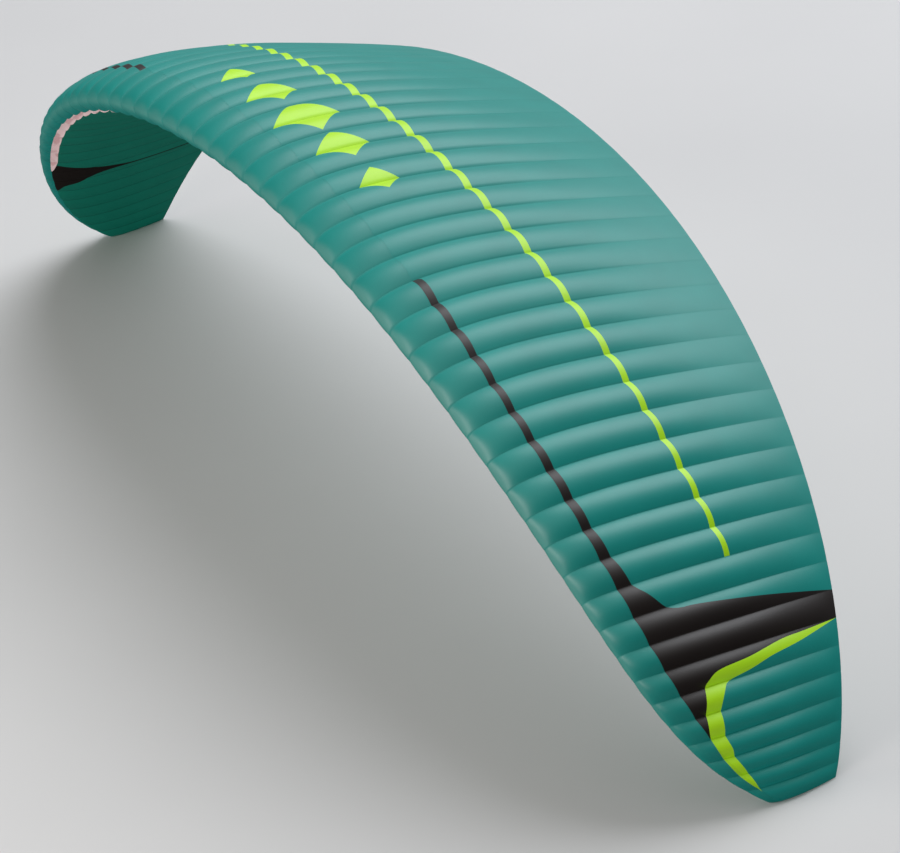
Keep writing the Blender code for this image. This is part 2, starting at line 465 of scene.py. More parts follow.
def profile_normal(station, surface):
    """The outward direction at a station, as (back, up)."""
    if station < TINY:
        return -1.0, 0.0
    step = min(0.002, station / 2)
    before = profile_height(station - step, surface)
    after = profile_height(min(station + step, 1.0), surface)
    run = min(station + step, 1.0) - station + step
    slope = (after - before) / run
    length = math.hypot(1, slope)
    return -surface * slope / length, surface / length


def cell_width(rib):
    """The flat width of the cell that a rib position lies in."""
    cell = min(math.floor(abs(rib)), HALF_CELLS - 1)
    return HALF_SPAN * (span_fraction(cell + 1) - span_fraction(cell))


def balloon(rib, station, surface):
    """How far the cloth stands out between two ribs."""
    across = abs(rib) % 1
    if across < TINY:
        return 0.0
    rows = UPPER_FULLNESS if surface == UPPER else LOWER_FULLNESS
    fullness = smooth_value(rows, station)
    fullness += TIP_REAR_FULLNESS * span_fraction(rib) ** 2 * station**2 * (1 - station**14)
    fullness *= 1 + TIP_SWELL * span_fraction(rib) ** 6
    height = bpy.context.scene.wing_sizes.balloon * cell_width(rib)
    return height * 4 * across * (1 - across) * fullness


def wing_point(rib, station, surface, inward=0.0):
    """A point of the wing's outer surface, still in the wing's own attitude."""
    fraction = span_fraction(rib)
    front, rear = edges(fraction)
    chord = rear - front
    back, up = profile_normal(station, surface)
    stand_out = balloon(rib, station, surface) - inward
    along = station * chord + back * stand_out
    trailing = surface * TRAILING_EDGE_HALF * station
    height = profile_height(station, surface) * chord + up * stand_out + trailing
    twist = math.radians(series(TWIST_SERIES, fraction))
    along, height = (
        along * math.cos(twist) - height * math.sin(twist),
        along * math.sin(twist) + height * math.cos(twist),
    )
    lean = math.radians(series(ARC_SERIES, fraction))
    out, drop = arc_point(fraction)
    out += height * math.sin(lean)
    side = -1 if rib < 0 else 1
    return Vector((side * out, front + along, height * math.cos(lean) - drop))


def pitched(point):
    """A point turned to the nose down attitude of the standing wing."""
    angle = math.radians(PITCH)
    return Vector(
        (
            point.x,
            point.y * math.cos(angle) - point.z * math.sin(angle),
            point.y * math.sin(angle) + point.z * math.cos(angle),
        )
    )


def ground_level():
    """The mean height of the last rib, which the wing stands on."""
    heights = [
        pitched(wing_point(HALF_CELLS, station, surface)).z
        for station in LEVEL_STATIONS
        for surface in (UPPER, LOWER)
    ]
    return sum(heights) / len(heights)


GROUND = ground_level()


def place(rib, station, surface, inward=0.0, lift=0.0):
    """A point of the standing wing. The last cell is trimmed level for the ground."""
    point = pitched(wing_point(rib, station, surface, inward))
    point -= Vector((0, DEPTH_CENTRE, GROUND))
    past = abs(rib) - (HALF_CELLS - 1)
    if past <= 0:
        return point
    side = -1 if rib < 0 else 1
    lean = math.radians(series(ARC_SERIES, span_fraction(rib)))
    outward = pitched(Vector((side * math.cos(lean), 0, -math.sin(lean))))
    last = pitched(wing_point(side * HALF_CELLS, station, surface, inward))
    slide = (last.z - GROUND - lift) / -outward.z
    return point + outward * slide * past


def chord_share(rib, length):
    """A length square to the swept leading edge, as a fraction of the chord."""
    fraction = span_fraction(rib)
    slope = sum(
        power * share * fraction ** (power - 1) / HALF_SPAN
        for power, share in LEADING_EDGE_SERIES.items()
    )
    front, rear = edges(fraction)
    return length * math.hypot(1, slope) / (rear - front)


# ---- Rows of each skin -------------------------------------------------------------------


def nose_rows(rib):
    """From the lip, round the nose and up to its seam, where it laps under."""
    half_gap = chord_share(rib, JOIN_GAP) / 2
    front = NOSE_SEAM - half_gap
    under = [
        (LOWER, LIP * (1 - step / NOSE_UNDER_ROWS) ** 2, 0.0)
        for step in range(NOSE_UNDER_ROWS)
    ]
    over = [
        (UPPER, front * (step / NOSE_OVER_ROWS) ** NOSE_CROWDING, 0.0)
        for step in range(NOSE_OVER_ROWS + 1)
    ]
    start = (UPPER, NOSE_SEAM + half_gap, LAP_DEPTH)
    end = (UPPER, NOSE_SEAM + chord_share(rib, LAP_WIDTH), LAP_DEPTH)
    return [*under, *over, start, end]


def upper_rows(rib):
    """From the nose's seam to the trailing edge."""
    front = NOSE_SEAM + chord_share(rib, JOIN_GAP) / 2
    return [
        (UPPER, front + (1 - front) * (step / UPPER_ROWS) ** UPPER_CROWDING, 0.0)
        for step in range(UPPER_ROWS + 1)
    ]


def lower_rows(rib):
    """From the lap under the lip, over the intake slot and back.

    The slot narrows to a point over the last cell that takes air.
    """
    front = LIP + chord_share(rib, JOIN_GAP)
    lap = LIP - chord_share(rib, LIP_LAP)
    open_share = min(1.0, max(SLOT_END, INTAKE_CELLS - abs(rib)))
    rear = front + (INTAKE_REAR - front) * open_share
    rest = [
        (LOWER, rear + (1 - rear) * (step / LOWER_ROWS) ** LOWER_CROWDING, 0.0)
        for step in range(LOWER_ROWS + 1)
    ]
    return [(LOWER, lap, LAP_DEPTH), (LOWER, front, LAP_DEPTH), *rest]


# ---- Colour borders ----------------------------------------------------------------------


def smooth_line(rows, steps=5):
    """A table of (rib, station) rows, with the bends between its rows rounded."""
    line = []
    count = len(rows) - 1
    for index in range(count):
        corners = [rows[max(index - 1, 0)], rows[index], rows[index + 1]]
        corners.append(rows[min(index + 2, count)])
        for step in range(steps):
            share = step / steps
            line.append(tuple(round_between(corners, axis, share) for axis in (0, 1)))
    return [*line, rows[-1]]


def round_between(corners, axis, share):
    """One coordinate on a Catmull-Rom curve between the middle two of four corners."""
    before, start, end, after = (corner[axis] for corner in corners)
    return 0.5 * (
        2 * start
        + (end - before) * share
        + (2 * before - 5 * start + 4 * end - after) * share**2
        + (3 * start - before - 3 * end + after) * share**3
    )


def inside_distance(outline, point):
    """How far a flat point lies inside a closed outline, and below zero outside it."""
    across, along = point
    nearest = math.inf
    inside = False
    for (x0, y0), (x1, y1) in zip(outline, outline[1:] + outline[:1]):
        run_x, run_y = x1 - x0, y1 - y0
        square = run_x * run_x + run_y * run_y
        if square < TINY:
            continue
        share = ((across - x0) * run_x + (along - y0) * run_y) / square
        share = min(max(share, 0.0), 1.0)
        gap_x, gap_y = x0 + run_x * share - across, y0 + run_y * share - along
        nearest = min(nearest, gap_x * gap_x + gap_y * gap_y)
        if (y0 > along) != (y1 > along) and across < x0 + run_x * (along - y0) / run_y:
            inside = not inside
    return math.sqrt(nearest) * (1 if inside else -1)


def colour_outlines():
    """Closed flat outlines whose borders are the upper skin's colour borders."""
    outlines = {
        "black_patch": (*BLACK_FRONT, *smooth_line(BLACK_INBOARD), *BLACK_UNDER_HOOK),
        "hook_outer": (*smooth_line(HOOK_OUTER), *OUTSIDE_HOOK),
        "hook_inner": (*smooth_line(HOOK_INNER), *INSIDE_HOOK),
    }
    return {
        name: [flat_place(rib, station) for rib, station in rows]
        for name, rows in outlines.items()
    }


def line_offset(rib, station):
    """How far behind the middle of the lime line a point lies, in metres."""
    front, rear = edges(span_fraction(rib))
    return (station - series(LIME_LINE_PLACE, abs(rib) / HALF_CELLS)) * (rear - front)


def upper_marks(outlines, rib, station):
    """The values that the upper and nose cloth read at a point."""
    marks = {name: -1.0 for name in outlines}
    if abs(rib) > FIRST_MARKED_RIB:
        point = flat_place(abs(rib), station)
        marks = {name: inside_distance(line, point) for name, line in outlines.items()}
    marks["line_offset"] = line_offset(rib, station)
    return marks


def lower_marks(rib, station):
    """The values that the lower cloth reads at a point."""
    inboard = smooth_value(UNDER_PATCH_INBOARD, station)
    outboard = smooth_value(UNDER_PATCH_OUTBOARD, station)
    width = cell_width(rib)
    return {
        "patch_inboard": (abs(rib) - inboard) * width,
        "patch_outboard": (outboard - abs(rib)) * width,
    }


# ---- Cloth meshes ------------------------------------------------------------------------


def sheet_columns(steps):
    """Rib positions from tip to tip, with steps columns to a cell."""
    count = HALF_CELLS * steps
    return [index / steps for index in range(-count, count + 1)]


def rib_gap(rib):
    """How far a point lies from the nearest rib line, in metres."""
    return abs(rib - round(rib)) * cell_width(rib)


def cloth_grid(form, rows_at, lift, marks_at, open_rows=0):
    """Fills a bmesh with a skin's outer face, and returns its columns of vertices.

    In the cells that take air, the first open_rows rows of faces are left out.
    """
    steps = bpy.context.scene.wing_sizes.cell_steps
    columns = sheet_columns(steps)
    names = ["rib", "station", "rib_gap", *marks_at(0.0, 0.1)]
    layers = {name: form.verts.layers.float.new(name) for name in names}
    grid = []
    for rib in columns:
        column = []
        for surface, station, inward in rows_at(rib):
            vert = form.verts.new(place(rib, station, surface, inward, lift))
            marks = {"rib": rib, "station": station, "rib_gap": rib_gap(rib)}
            marks.update(marks_at(rib, station))
            for name, value in marks.items():
                vert[layers[name]] = value
            column.append(vert)
        grid.append(column)
    for left, right, rib in zip(grid, grid[1:], columns):
        middle = abs(rib + 0.5 / steps)
        for row in range(len(left) - 1):
            if row < open_rows and middle < INTAKE_CELLS:
                continue
            form.faces.new((left[row], right[row], right[row + 1], left[row + 1]))
    for vert in [vert for vert in form.verts if not vert.link_faces]:
        form.verts.remove(vert)
    for column, rib in zip(grid, columns):
        if abs(rib - round(rib)) < TINY:
            crease_column(column)
    return grid


def crease_column(column):
    """Keeps the fold at a rib line crisp."""
    verts = {vert for vert in column if vert.is_valid}
    for vert in verts:
        for edge in vert.link_edges:
            if edge.other_vert(vert) in verts:
                edge.smooth = False


def crease_row(grid, row):
    """Keeps the fold at one row of a skin crisp."""
    for left, right in zip(grid, grid[1:]):
        for edge in left[row].link_edges:
            if edge.other_vert(left[row]) == right[row]:
                edge.smooth = False


def flat_uv(form):
    """Lays the cloth's flat place in metres in a UV map."""
    uv = form.loops.layers.uv.new("Cloth")
    rib, station = (form.verts.layers.float[name] for name in ("rib", "station"))
    for face in form.faces:
        for loop in face.loops:
            loop[uv].uv = flat_place(loop.vert[rib], loop.vert[station])


def close_tip(form, column, side):
    """Folds the lower skin in at a tip: a flat lens that the wing stands on."""
    rib = side * HALF_CELLS
    lap = lower_rows(rib)[0]
    nose = [row for row in nose_rows(rib)[:-2] if row[0] == UPPER or row[1] < lap[1]]
    rim = [lap, *nose, *upper_rows(rib)[1:]]
    ribs, stations = (form.verts.layers.float[name] for name in ("rib", "station"))
    outboard = form.verts.layers.float["patch_outboard"]
    loop = [vert for vert in column if vert.is_valid]
    for edge in {edge for vert in loop for edge in vert.link_edges}:
        if edge.is_boundary and edge.verts[0] in loop and edge.verts[1] in loop:
            edge.smooth = False
    kept = [(surface, station) for surface, station, _ in rim if station <= RIB_END]
    for surface, station in [(UPPER, RIB_END), *reversed(kept)]:
        vert = form.verts.new(place(rib, station, surface, inward=TIP_CLEARANCE))
        vert[ribs] = rib
        vert[stations] = station
        vert[outboard] = -1.0
        loop.append(vert)
    form.faces.new(loop if side < 0 else reversed(loop))


def finish_cloth(form, name, materials, node):
    """Makes the bmesh an object of two sided cloth that stands for a packed skin."""
    flat_uv(form)
    for face in form.faces:
        face.smooth = True
    for edge in form.edges:
        edge.smooth = edge.smooth and not edge.is_boundary
    mesh = bpy.data.meshes.new(name)
    form.to_mesh(mesh)
    form.free()
    for material in materials:
        mesh.materials.append(material)
    cloth = bpy.data.objects.new(name, mesh)
    bpy.context.scene.collection.objects.link(cloth)
    wall = cloth.modifiers.new("Cloth", "SOLIDIFY")
    wall.thickness = bpy.context.scene.wing_sizes.thickness
    wall.offset = -1
    wall.use_even_offset = True
    wall.use_quality_normals = True
    wall.material_offset = len(materials) - 1
    bpy.ops.object.select_all(action="DESELECT")
    bpy.context.view_layer.objects.active = cloth
    cloth.select_set(True)
    bpy.ops.object.modifier_apply(modifier="Cloth")
    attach(cloth, "root")
    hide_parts(node)
    return cloth


# ---- Shader nodes ------------------------------------------------------------------------


def add_node(tree, kind, **settings):
    """A new node of that kind, with its settings."""
    node = tree.nodes.new(kind)
    for name, value in settings.items():
        setattr(node, name, value)
    return node


def feed(tree, socket, value):
    """Links a socket to another, or sets its value."""
    if isinstance(value, bpy.types.NodeSocket):
        tree.links.new(value, socket)
    else:
        socket.default_value = value


def calculate(tree, operation, *values):
    """The result of a sum on sockets or numbers."""
    node = add_node(tree, "ShaderNodeMath", operation=operation)
    for socket, value in zip(node.inputs, values):
        feed(tree, socket, value)
    return node.outputs[0]


def remap(tree, value, low, high, start=0.0, end=1.0, smooth=False):
    """Maps low..high to start..end, and holds the ends beyond."""
    node = add_node(tree, "ShaderNodeMapRange")
    node.interpolation_type = "SMOOTHSTEP" if smooth else "LINEAR"
    for socket, number in zip(node.inputs, (value, low, high, start, end)):
        feed(tree, socket, number)
    return node.outputs[0]


def blend_colours(tree, mask, first, second):
    """The first colour where the mask is 0, and the second where it is 1."""
    node = add_node(tree, "ShaderNodeMix", data_type="RGBA")
    feed(tree, node.inputs["Factor"], mask)
    feed(tree, node.inputs[6], first)
    feed(tree, node.inputs[7], second)
    return node.outputs[2]


def shade_colour(tree, colour, factor):
    """Multiplies a colour by a number or a grey."""
    node = add_node(tree, "ShaderNodeVectorMath", operation="SCALE")
    feed(tree, node.inputs[0], colour)
    feed(tree, node.inputs["Scale"], factor)
    return node.outputs[0]


def attribute(tree, name):
    """A value that each point of the cloth holds."""
    return add_node(tree, "ShaderNodeAttribute", attribute_name=name).outputs["Fac"]


def noise(tree, where, scale, detail):
    """A soft noise from 0 to 1."""
    node = add_node(tree, "ShaderNodeTexNoise")
    feed(tree, node.inputs["Vector"], where)
    node.inputs["Scale"].default_value = scale
    node.inputs["Detail"].default_value = detail
    return node.outputs["Fac"]


def axes(tree, vector):
    """The X, Y and Z of a vector."""
    node = add_node(tree, "ShaderNodeSeparateXYZ")
    feed(tree, node.inputs[0], vector)
    return node.outputs


def new_group(name, inputs, outputs):
    """A node group with float inputs and outputs, given as names and defaults."""
    group = bpy.data.node_groups.new(name, "ShaderNodeTree")
    for title, default in inputs.items():
        kind = "NodeSocketVector" if default is None else "NodeSocketFloat"
        socket = group.interface.new_socket(title, in_out="INPUT", socket_type=kind)
        if default is not None:
            socket.default_value = default
    for title in outputs:
        group.interface.new_socket(title, in_out="OUTPUT", socket_type="NodeSocketFloat")
    entry = add_node(group, "NodeGroupInput")
    leave = add_node(group, "NodeGroupOutput")
    return group, entry.outputs, leave.inputs


def named_group(name, build):
    """The group of that name, built the first time it is asked for."""
    return bpy.data.node_groups.get(name) or build(name)


def use_group(tree, group, **values):
    """Places a node group, with its inputs given by name."""
    node = add_node(tree, "ShaderNodeGroup", node_tree=group)
    for title, value in values.items():
        feed(tree, node.inputs[title.replace("_", " ").capitalize()], value)
    return node.outputs


def build_ripstop(name):
    """Square ripstop threads over a fine plain weave."""
    group, given, put = new_group(
        name, {"Cloth": None, "Pitch": 0.005}, ("Thread", "Height", "Cloudiness")
    )
    parts = axes(group, given["Cloth"])
    lines = []
    for axis in ("X", "Y"):
        turns = calculate(group, "DIVIDE", parts[axis], given["Pitch"])
        off_line = calculate(group, "PINGPONG", turns, 0.5)
        lines.append(remap(group, off_line, *THREAD_EDGE, 1.0, 0.0, smooth=True))
    thread = calculate(group, "MAXIMUM", *lines)
    weave = noise(group, given["Cloth"], *WEAVE_NOISE)
    cloud = noise(group, given["Cloth"], *CLOUD_NOISE)
    feed(group, put["Thread"], thread)
    height = calculate(group, "MULTIPLY_ADD", weave, WEAVE_SHARE, thread)
    feed(group, put["Height"], height)
    feed(group, put["Cloudiness"], cloud)
    return group


def build_seam(name):
    """A felled seam with two rows of stitches along each rib line."""
    group, given, put = new_group(
        name, {"Gap": 0.1, "Along": 0.0, "Width": 0.008}, ("Seam", "Stitch", "Height")
    )
    half = calculate(group, "MULTIPLY", given["Width"], 0.5)
    share = calculate(group, "DIVIDE", given["Gap"], half)
    seam = remap(group, share, *SEAM_EDGE, 1.0, 0.0, smooth=True)
    off_row = calculate(group, "ABSOLUTE", calculate(group, "SUBTRACT", share, STITCH_ROW))
    row = remap(group, off_row, *STITCH_ROW_EDGE, 1.0, 0.0, smooth=True)
    turns = calculate(group, "DIVIDE", given["Along"], STITCH_PITCH)
    dash = calculate(group, "PINGPONG", turns, 0.5)
    dash = remap(group, dash, *STITCH_END_EDGE, smooth=True)
    stitch = calculate(group, "MULTIPLY", row, dash)
    feed(group, put["Seam"], seam)
    feed(group, put["Stitch"], stitch)
    feed(group, put["Height"], calculate(group, "MULTIPLY_ADD", stitch, 0.5, seam))
    return group


def build_lozenge(name):
    """A lozenge mask from the rib number and the chord station."""
    inputs = {
        "Rib": 0.0,
        "Station": 0.0,
        "Centre rib": 0.0,
        "Centre station": LOZENGE_STATION,
        "Half width": 1.0,
        "Half length": 0.1,
    }
    group, given, put = new_group(name, inputs, ("Mask",))
    out = calculate(group, "ABSOLUTE", given["Rib"])
    reach = []
    for value, centre, half in (
        (out, "Centre rib", "Half width"),
        (given["Station"], "Centre station", "Half length"),
    ):
        off = calculate(group, "ABSOLUTE", calculate(group, "SUBTRACT", value, given[centre]))
        reach.append(calculate(group, "DIVIDE", off, given[half]))
    total = calculate(group, "ADD", *reach)
    feed(group, put["Mask"], calculate(group, "LESS_THAN", total, 1.0))
    return group


def new_material(name, roughness, gloss, glow):
    """A plain material, its nodes and its shader."""
    material = bpy.data.materials.new(name)
    material.use_nodes = True
    shader = material.node_tree.nodes["Principled BSDF"]
    shader.inputs["Roughness"].default_value = roughness
    shader.inputs["Metallic"].default_value = 0.0
    shader.inputs["Specular IOR Level"].default_value = gloss
    # On the cloth this glow is painted light that lifts its shade; on the floor it keeps the
    # floor evenly pale.
    shader.inputs["Emission Strength"].default_value = glow
    return material, material.node_tree, shader


def opaque(colour):
    return (*colour, 1.0)


def ripstop_weave(tree, where):
    """The ripstop weave over a place in metres."""
    pitch = bpy.context.scene.wing_sizes.ripstop_pitch
    return use_group(tree, named_group("Ripstop", build_ripstop), cloth=where, pitch=pitch)


def cloth_finish(tree, shader, colour, seam_tone=SEAM_TONE, valley_shade_tone=VALLEY_SHADE_TONE):
    """Adds ripstop, seams, painted shade beside the seams and a little unevenness to a colour.
    """
    flat = add_node(tree, "ShaderNodeUVMap", uv_map="Cloth").outputs[0]
    ripstop = ripstop_weave(tree, flat)
    seam = use_group(
        tree,
        named_group("Rib seam", build_seam),
        gap=attribute(tree, "rib_gap"),
        along=axes(tree, flat)["Y"],
        width=bpy.context.scene.wing_sizes.seam_width,
    )
    # Painted shade: the colour is darkened in the dip beside each seam, and the gloss dulls
    # there.
    valley_shade = valley_shade_mask(tree)
    tone = remap(tree, ripstop["Cloudiness"], *CLOUD_EDGE, *CLOUD_TONES)
    for mask, shade in (
        (ripstop["Thread"], THREAD_TONE),
        (seam["Seam"], seam_tone),
        (seam["Stitch"], STITCH_TONE),
        (valley_shade, valley_shade_tone),
    ):
        tone = calculate(tree, "MULTIPLY", tone, remap(tree, mask, 0, 1, 1, shade))
    colour_and_painted_glow(tree, shader, shade_colour(tree, colour, tone))
    plain = shader.inputs["Roughness"].default_value
    rough = remap(tree, valley_shade, 0, 1, plain, VALLEY_ROUGHNESS)
    feed(tree, shader.inputs["Roughness"], rough)
    threads = calculate(tree, "MULTIPLY", ripstop["Height"], THREAD_HEIGHT)
    seams = calculate(tree, "MULTIPLY", seam["Height"], SEAM_HEIGHT)
    add_bump(tree, shader, calculate(tree, "ADD", threads, seams))


def valley_shade_mask(tree):
    """Painted shade: 1 at the bottom of the dip beside a seam, fading into the cell and to the
    rear.
    """
    rib = attribute(tree, "rib")
    across = calculate(tree, "PINGPONG", rib, 0.5)
    far = calculate(tree, "ABSOLUTE", rib)
    reach = remap(tree, far, *VALLEY_RIBS, *VALLEY_REACH)
    beside = remap(tree, across, 0.0, reach, 1.0, 0.0, smooth=True)
    station = attribute(tree, "station")
    depth = remap(tree, station, *VALLEY_STATIONS, 1.0, VALLEY_REAR_SHARE, smooth=True)
    return calculate(tree, "MULTIPLY", beside, depth)


def colour_and_painted_glow(tree, shader, colour):
    """Gives the cloth its colour, and a faint glow in that colour: painted light that lifts its
    shade.
    """
    feed(tree, shader.inputs["Base Color"], colour)
    feed(tree, shader.inputs["Emission Color"], colour)


def add_bump(tree, shader, height):
    """Raises the cloth by a height in metres."""
    bump = add_node(tree, "ShaderNodeBump")
    bump.inputs["Strength"].default_value = BUMP_STRENGTH
    bump.inputs["Distance"].default_value = 1.0
    feed(tree, bump.inputs["Height"], height)
    feed(tree, shader.inputs["Normal"], bump.outputs[0])


def between_borders(tree, first, second):
    """1 where the cloth lies inside both borders."""
    nearest = calculate(tree, "MINIMUM", attribute(tree, first), attribute(tree, second))
    return calculate(tree, "GREATER_THAN", nearest, 0.0)


def upper_material():
    """Teal cloth with the black stripe and patch, and all that is lime."""
    colours = bpy.context.scene.wing_colours
    material, tree, shader = new_material("Upper cloth", roughness=0.49, gloss=0.72, glow=0.29)
    rib, station = attribute(tree, "rib"), attribute(tree, "station")
    black = calculate(tree, "GREATER_THAN", attribute(tree, "black_patch"), 0.0)
    off_line = calculate(tree, "ABSOLUTE", attribute(tree, "line_offset"))
    sizes = bpy.context.scene.wing_sizes
    far = calculate(tree, "ABSOLUTE", rib)
    reach = remap(tree, far, 0, LIME_LINE_RIBS, sizes.line_width / 2, sizes.line_end / 2)
    on_line = calculate(tree, "LESS_THAN", off_line, reach)
    inboard = calculate(tree, "LESS_THAN", far, LIME_LINE_RIBS)
    on_line = calculate(tree, "MULTIPLY", on_line, inboard)
    lime = calculate(tree, "MAXIMUM", on_line, between_borders(tree, *HOOK_BORDERS))
    group = named_group("Lozenge", build_lozenge)
    for centre, half_width, half_length in LOZENGES:
        lozenge = use_group(
            tree,
            group,
            rib=rib,
            station=station,
            centre_rib=centre,
            centre_station=LOZENGE_STATION,
            half_width=half_width,
            half_length=half_length,
        )
        lime = calculate(tree, "MAXIMUM", lime, lozenge["Mask"])
    colour = blend_colours(tree, black, opaque(colours.teal), opaque(colours.black))
    colour = blend_colours(tree, lime, colour, opaque(colours.lime))
    cloth_finish(tree, shader, colour)
    return material


def nose_material():
    """Teal cloth with the end of the lime hook."""
    colours = bpy.context.scene.wing_colours
    material, tree, shader = new_material("Nose cloth", roughness=0.46, gloss=0.85, glow=0.23)
    hook = between_borders(tree, *HOOK_BORDERS)
    colour = blend_colours(tree, hook, opaque(colours.nose), opaque(colours.lime))
    cloth_finish(tree, shader, colour, seam_tone=NOSE_SEAM_TONE, valley_shade_tone=NOSE_VALLEY_SHADE_TONE)
    return material


def lower_material():
    """Dark green cloth with the black wedge."""
    colours = bpy.context.scene.wing_colours
    material, tree, shader = new_material("Lower cloth", roughness=0.75, gloss=0.25, glow=0.30)
    black = between_borders(tree, "patch_inboard", "patch_outboard")
    colour = blend_colours(tree, black, opaque(colours.green), opaque(colours.black))
    cloth_finish(tree, shader, colour, seam_tone=LOWER_SEAM_AND_SHADE_TONE)
    return material


def reverse_material():
    """The pale coated side that shows through the intakes, with painted shade in each cell's
    middle.
    """
    if "Cloth reverse" in bpy.data.materials:
        return bpy.data.materials["Cloth reverse"]
    colours = bpy.context.scene.wing_colours
    material, tree, shader = new_material("Cloth reverse", roughness=0.70, gloss=0.25, glow=0.40)
    across = calculate(tree, "PINGPONG", attribute(tree, "rib"), 0.5)
    patch = remap(tree, across, *SHADE_PATCH_EDGE, 0.0, SHADE_PATCH_STRENGTH, smooth=True)
    colour = blend_colours(tree, patch, opaque(colours.reverse), opaque(colours.shade_and_blotch))
    cloth_finish(tree, shader, colour)
    return material


def rib_material():
    """Rib cloth: its weave lies in the rib's plane, so it reads Object coordinates."""
    colours = bpy.context.scene.wing_colours
    material, tree, shader = new_material("Rib cloth", roughness=0.70, gloss=0.25, glow=0.25)
    where = add_node(tree, "ShaderNodeTexCoord").outputs["Object"]
    turn = add_node(tree, "ShaderNodeMapping")
    turn.inputs["Rotation"].default_value = (0.0, math.radians(-90), math.radians(-90))
    feed(tree, turn.inputs["Vector"], where)
    ripstop = ripstop_weave(tree, turn.outputs[0])
    tone = remap(tree, ripstop["Cloudiness"], *CLOUD_EDGE, *RIB_CLOUD_TONES)
    thread = remap(tree, ripstop["Thread"], 0, 1, 1, RIB_THREAD_TONE)
    tone = calculate(tree, "MULTIPLY", tone, thread)
    # Reddish blotches at random over the rib cloth.
    blotches = noise(tree, where, *BLOTCH_NOISE)
    blotched = remap(tree, blotches, *BLOTCH_EDGE, 0.0, BLOTCH_STRENGTH, smooth=True)
    colour = blend_colours(tree, blotched, opaque(colours.rib), opaque(colours.shade_and_blotch))
    colour_and_painted_glow(tree, shader, shade_colour(tree, colour, tone))
    add_bump(tree, shader, calculate(tree, "MULTIPLY", ripstop["Height"], THREAD_HEIGHT))
    return material


def floor_material():
    """A plain floor that pales with distance."""
    colours = bpy.context.scene.wing_colours
    material, tree, shader = new_material("Studio floor", roughness=0.85, gloss=0.0, glow=0.50)
    where = add_node(tree, "ShaderNodeTexCoord").outputs["Object"]
    tone = remap(tree, noise(tree, where, *FLOOR_NOISE), *CLOUD_EDGE, *FLOOR_TONES)
    bounced = add_node(tree, "ShaderNodeLightPath").outputs["Is Diffuse Ray"]
    tone = calculate(tree, "MULTIPLY", tone, remap(tree, bounced, 0, 1, 1, FLOOR_BOUNCE))
    feed(tree, shader.inputs["Base Color"], shade_colour(tree, tuple(colours.floor), tone))
    reach = add_node(tree, "ShaderNodeVectorMath", operation="LENGTH")
    feed(tree, reach.inputs[0], where)
    paler = remap(tree, reach.outputs["Value"], *FLOOR_GLOW_REACH, smooth=True)
    feed(tree, shader.inputs["Emission Color"], shade_colour(tree, tuple(colours.floor), paler))
    return material


# ---- Operators ---------------------------------------------------------------------------


class WING_OT_nose_panel(bpy.types.Operator):
    """Makes the nose skin, from the intake's lip round to the upper seam"""

    bl_idname = "wing.nose_panel"
    bl_label = "Nose skin"

    def execute(self, context):
        form = bmesh.new()
        outlines = colour_outlines()
        grid = cloth_grid(
            form, nose_rows, TIP_LIFT, lambda rib, s: upper_marks(outlines, rib, s)
        )
        crease_row(grid, NOSE_UNDER_ROWS + NOSE_OVER_ROWS)
        materials = (nose_material(), reverse_material())
        cloth = finish_cloth(form, "nose_panel", materials, "nose_skin")
        return {"FINISHED"}


class WING_OT_upper_panel(bpy.types.Operator):
    """Makes the upper skin, from the nose's seam to the trailing edge"""

    bl_idname = "wing.upper_panel"
    bl_label = "Upper skin"

    def execute(self, context):
        form = bmesh.new()
        outlines = colour_outlines()
        cloth_grid(form, upper_rows, TIP_LIFT, lambda rib, s: upper_marks(outlines, rib, s))
        materials = (upper_material(), reverse_material())
        cloth = finish_cloth(form, "upper_panel", materials, "upper_skin")
        return {"FINISHED"}


class WING_OT_lower_panel(bpy.types.Operator):
    """Makes the lower skin with its intakes and its flat closed tips"""

    bl_idname = "wing.lower_panel"
    bl_label = "Lower skin"

    def execute(self, context):
        form = bmesh.new()
        grid = cloth_grid(form, lower_rows, 0.0, lower_marks, open_rows=2)
        crease_row(grid, 2)
        close_tip(form, grid[0], -1)
        close_tip(form, grid[-1], 1)
        form.normal_update()
        bmesh.ops.reverse_faces(form, faces=form.faces)
        materials = (lower_material(), reverse_material())
        cloth = finish_cloth(form, "lower_panel", materials, "lower_skin")
        return {"FINISHED"}


class WING_OT_rib_finish(bpy.types.Operator):
    """Gives every packed rib its woven finish"""

    bl_idname = "wing.rib_finish"
    bl_label = "Ribs"

    def execute(self, context):
        material = rib_material()
        for name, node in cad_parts.items():
            if not name.startswith("rib_"):
                continue
            for slot in node.material_slots:
                slot.material = material
        return {"FINISHED"}


class WING_OT_stage(bpy.types.Operator):
    """Sets the floor, the soft lights and the camera"""

    bl_idname = "wing.stage"
    bl_label = "Stage"

    def execute(self, context):
        settings = context.scene.wing_stage
        bpy.ops.object.select_all(action="DESELECT")
        below = (0, 0, -FLOOR_DROP)
        bpy.ops.mesh.primitive_plane_add(size=settings.floor_size, location=below)
        floor = context.object
        floor.name = "floor"
        floor.visible_glossy = False
        floor.data.materials.append(floor_material())
        add_light(settings.rear_power, *REAR_LIGHT)
        add_light(settings.front_power, *FRONT_LIGHT)
        light_surroundings(settings.sky)
        add_camera(settings.lens)
        context.scene.view_settings.view_transform = "Standard"
        return {"FINISHED"}


def aim(obj, target):
    direction = Vector(target) - obj.location
    obj.rotation_euler = direction.to_track_quat("-Z", "Y").to_euler()


def add_light(power, name, location, target, size, colour):
    """A soft oval light that faces its target."""
    bpy.ops.object.light_add(type="AREA", location=location)
    light = bpy.context.object
    light.name = name
    light.data.shape = "ELLIPSE"
    light.data.size, light.data.size_y = size
    light.data.energy = power
    light.data.color = colour
    aim(light, target)


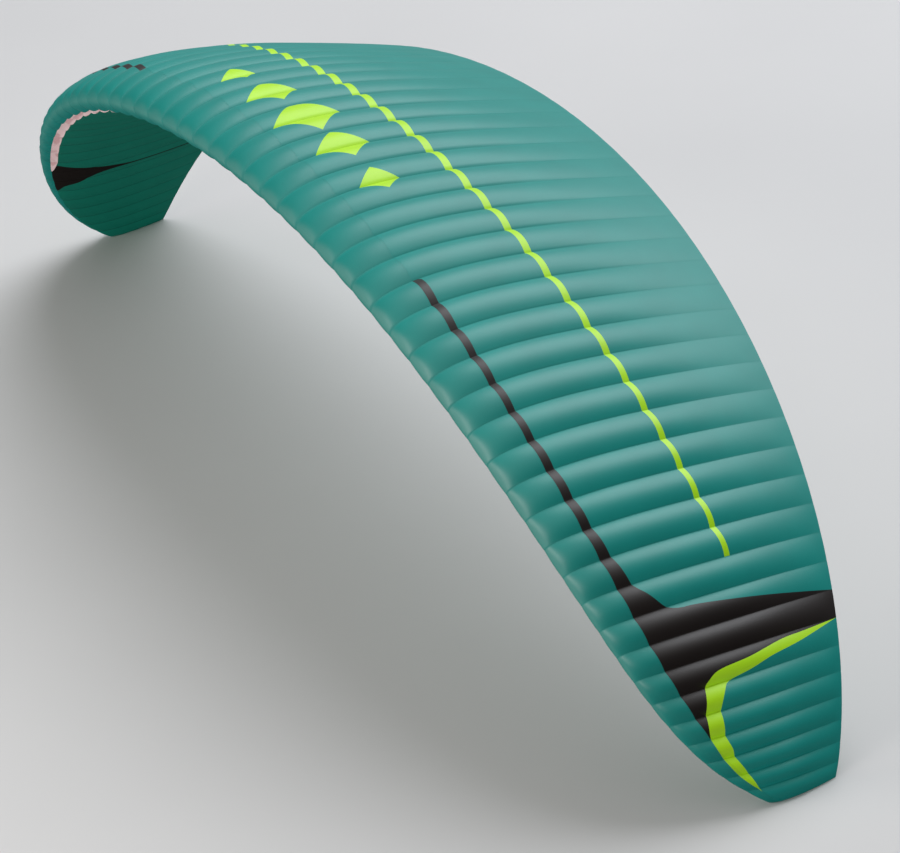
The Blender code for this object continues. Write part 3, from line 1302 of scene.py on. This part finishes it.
def light_surroundings(strength):
    """A pale sky over a dark horizon, with the low glows."""
    world = bpy.data.worlds.new("Studio")
    world.use_nodes = True
    tree = world.node_tree
    background = tree.nodes["Background"]
    towards = add_node(tree, "ShaderNodeTexCoord").outputs["Generated"]
    overhead = remap(tree, axes(tree, towards)["Z"], *OVERHEAD_HEIGHTS, smooth=True)
    colour = blend_colours(tree, overhead, opaque(HORIZON_COLOUR), opaque(OVERHEAD_COLOUR))
    for direction, reach, glow_colour in LOW_GLOWS:
        facing = add_node(tree, "ShaderNodeVectorMath", operation="DOT_PRODUCT")
        feed(tree, facing.inputs[0], towards)
        feed(tree, facing.inputs[1], direction)
        glow = remap(tree, facing.outputs["Value"], reach, 1.0, smooth=True)
        colour = blend_colours(tree, glow, colour, opaque(glow_colour))
    tree.links.new(colour, background.inputs["Color"])
    background.inputs["Strength"].default_value = strength
    bpy.context.scene.world = world


def add_camera(lens):
    """The camera, at its place and turn."""
    turn = [math.radians(angle) for angle in CAMERA_TURN]
    bpy.ops.object.camera_add(location=CAMERA_PLACE, rotation=turn)
    camera = bpy.context.object
    camera.data.lens = lens
    camera.data.clip_end = CAMERA_REACH
    bpy.context.scene.camera = camera


class WING_PT_panel(bpy.types.Panel):
    """Lists the wing's pieces, sizes and colours"""

    bl_idname = "WING_PT_panel"
    bl_label = "Paraglider wing"
    bl_space_type = "VIEW_3D"
    bl_region_type = "UI"
    bl_category = "Wing"

    def draw(self, context):
        for group in ("wing_sizes", "wing_colours", "wing_stage"):
            settings = getattr(context.scene, group)
            box = self.layout.box()
            for name in settings.__annotations__:
                box.prop(settings, name)
        for operator in PIECES:
            self.layout.operator(operator.bl_idname)


PIECES = (
    WING_OT_nose_panel,
    WING_OT_upper_panel,
    WING_OT_lower_panel,
    WING_OT_rib_finish,
    WING_OT_stage,
)
GROUPS = {"wing_sizes": WingSizes, "wing_colours": WingColours, "wing_stage": StageSettings}


def register():
    for cls in (*GROUPS.values(), *PIECES, WING_PT_panel):
        bpy.utils.register_class(cls)
    for name, cls in GROUPS.items():
        setattr(bpy.types.Scene, name, bpy.props.PointerProperty(type=cls))


def unregister():
    for name in GROUPS:
        delattr(bpy.types.Scene, name)
    for cls in reversed((*GROUPS.values(), *PIECES, WING_PT_panel)):
        bpy.utils.unregister_class(cls)


def dress_wing():
    """Makes every piece and the stage, in order."""
    register()
    bpy.ops.wing.nose_panel()
    bpy.ops.wing.upper_panel()
    bpy.ops.wing.lower_panel()
    bpy.ops.wing.rib_finish()
    bpy.ops.wing.stage()


if __name__ == "__main__":
    dress_wing()
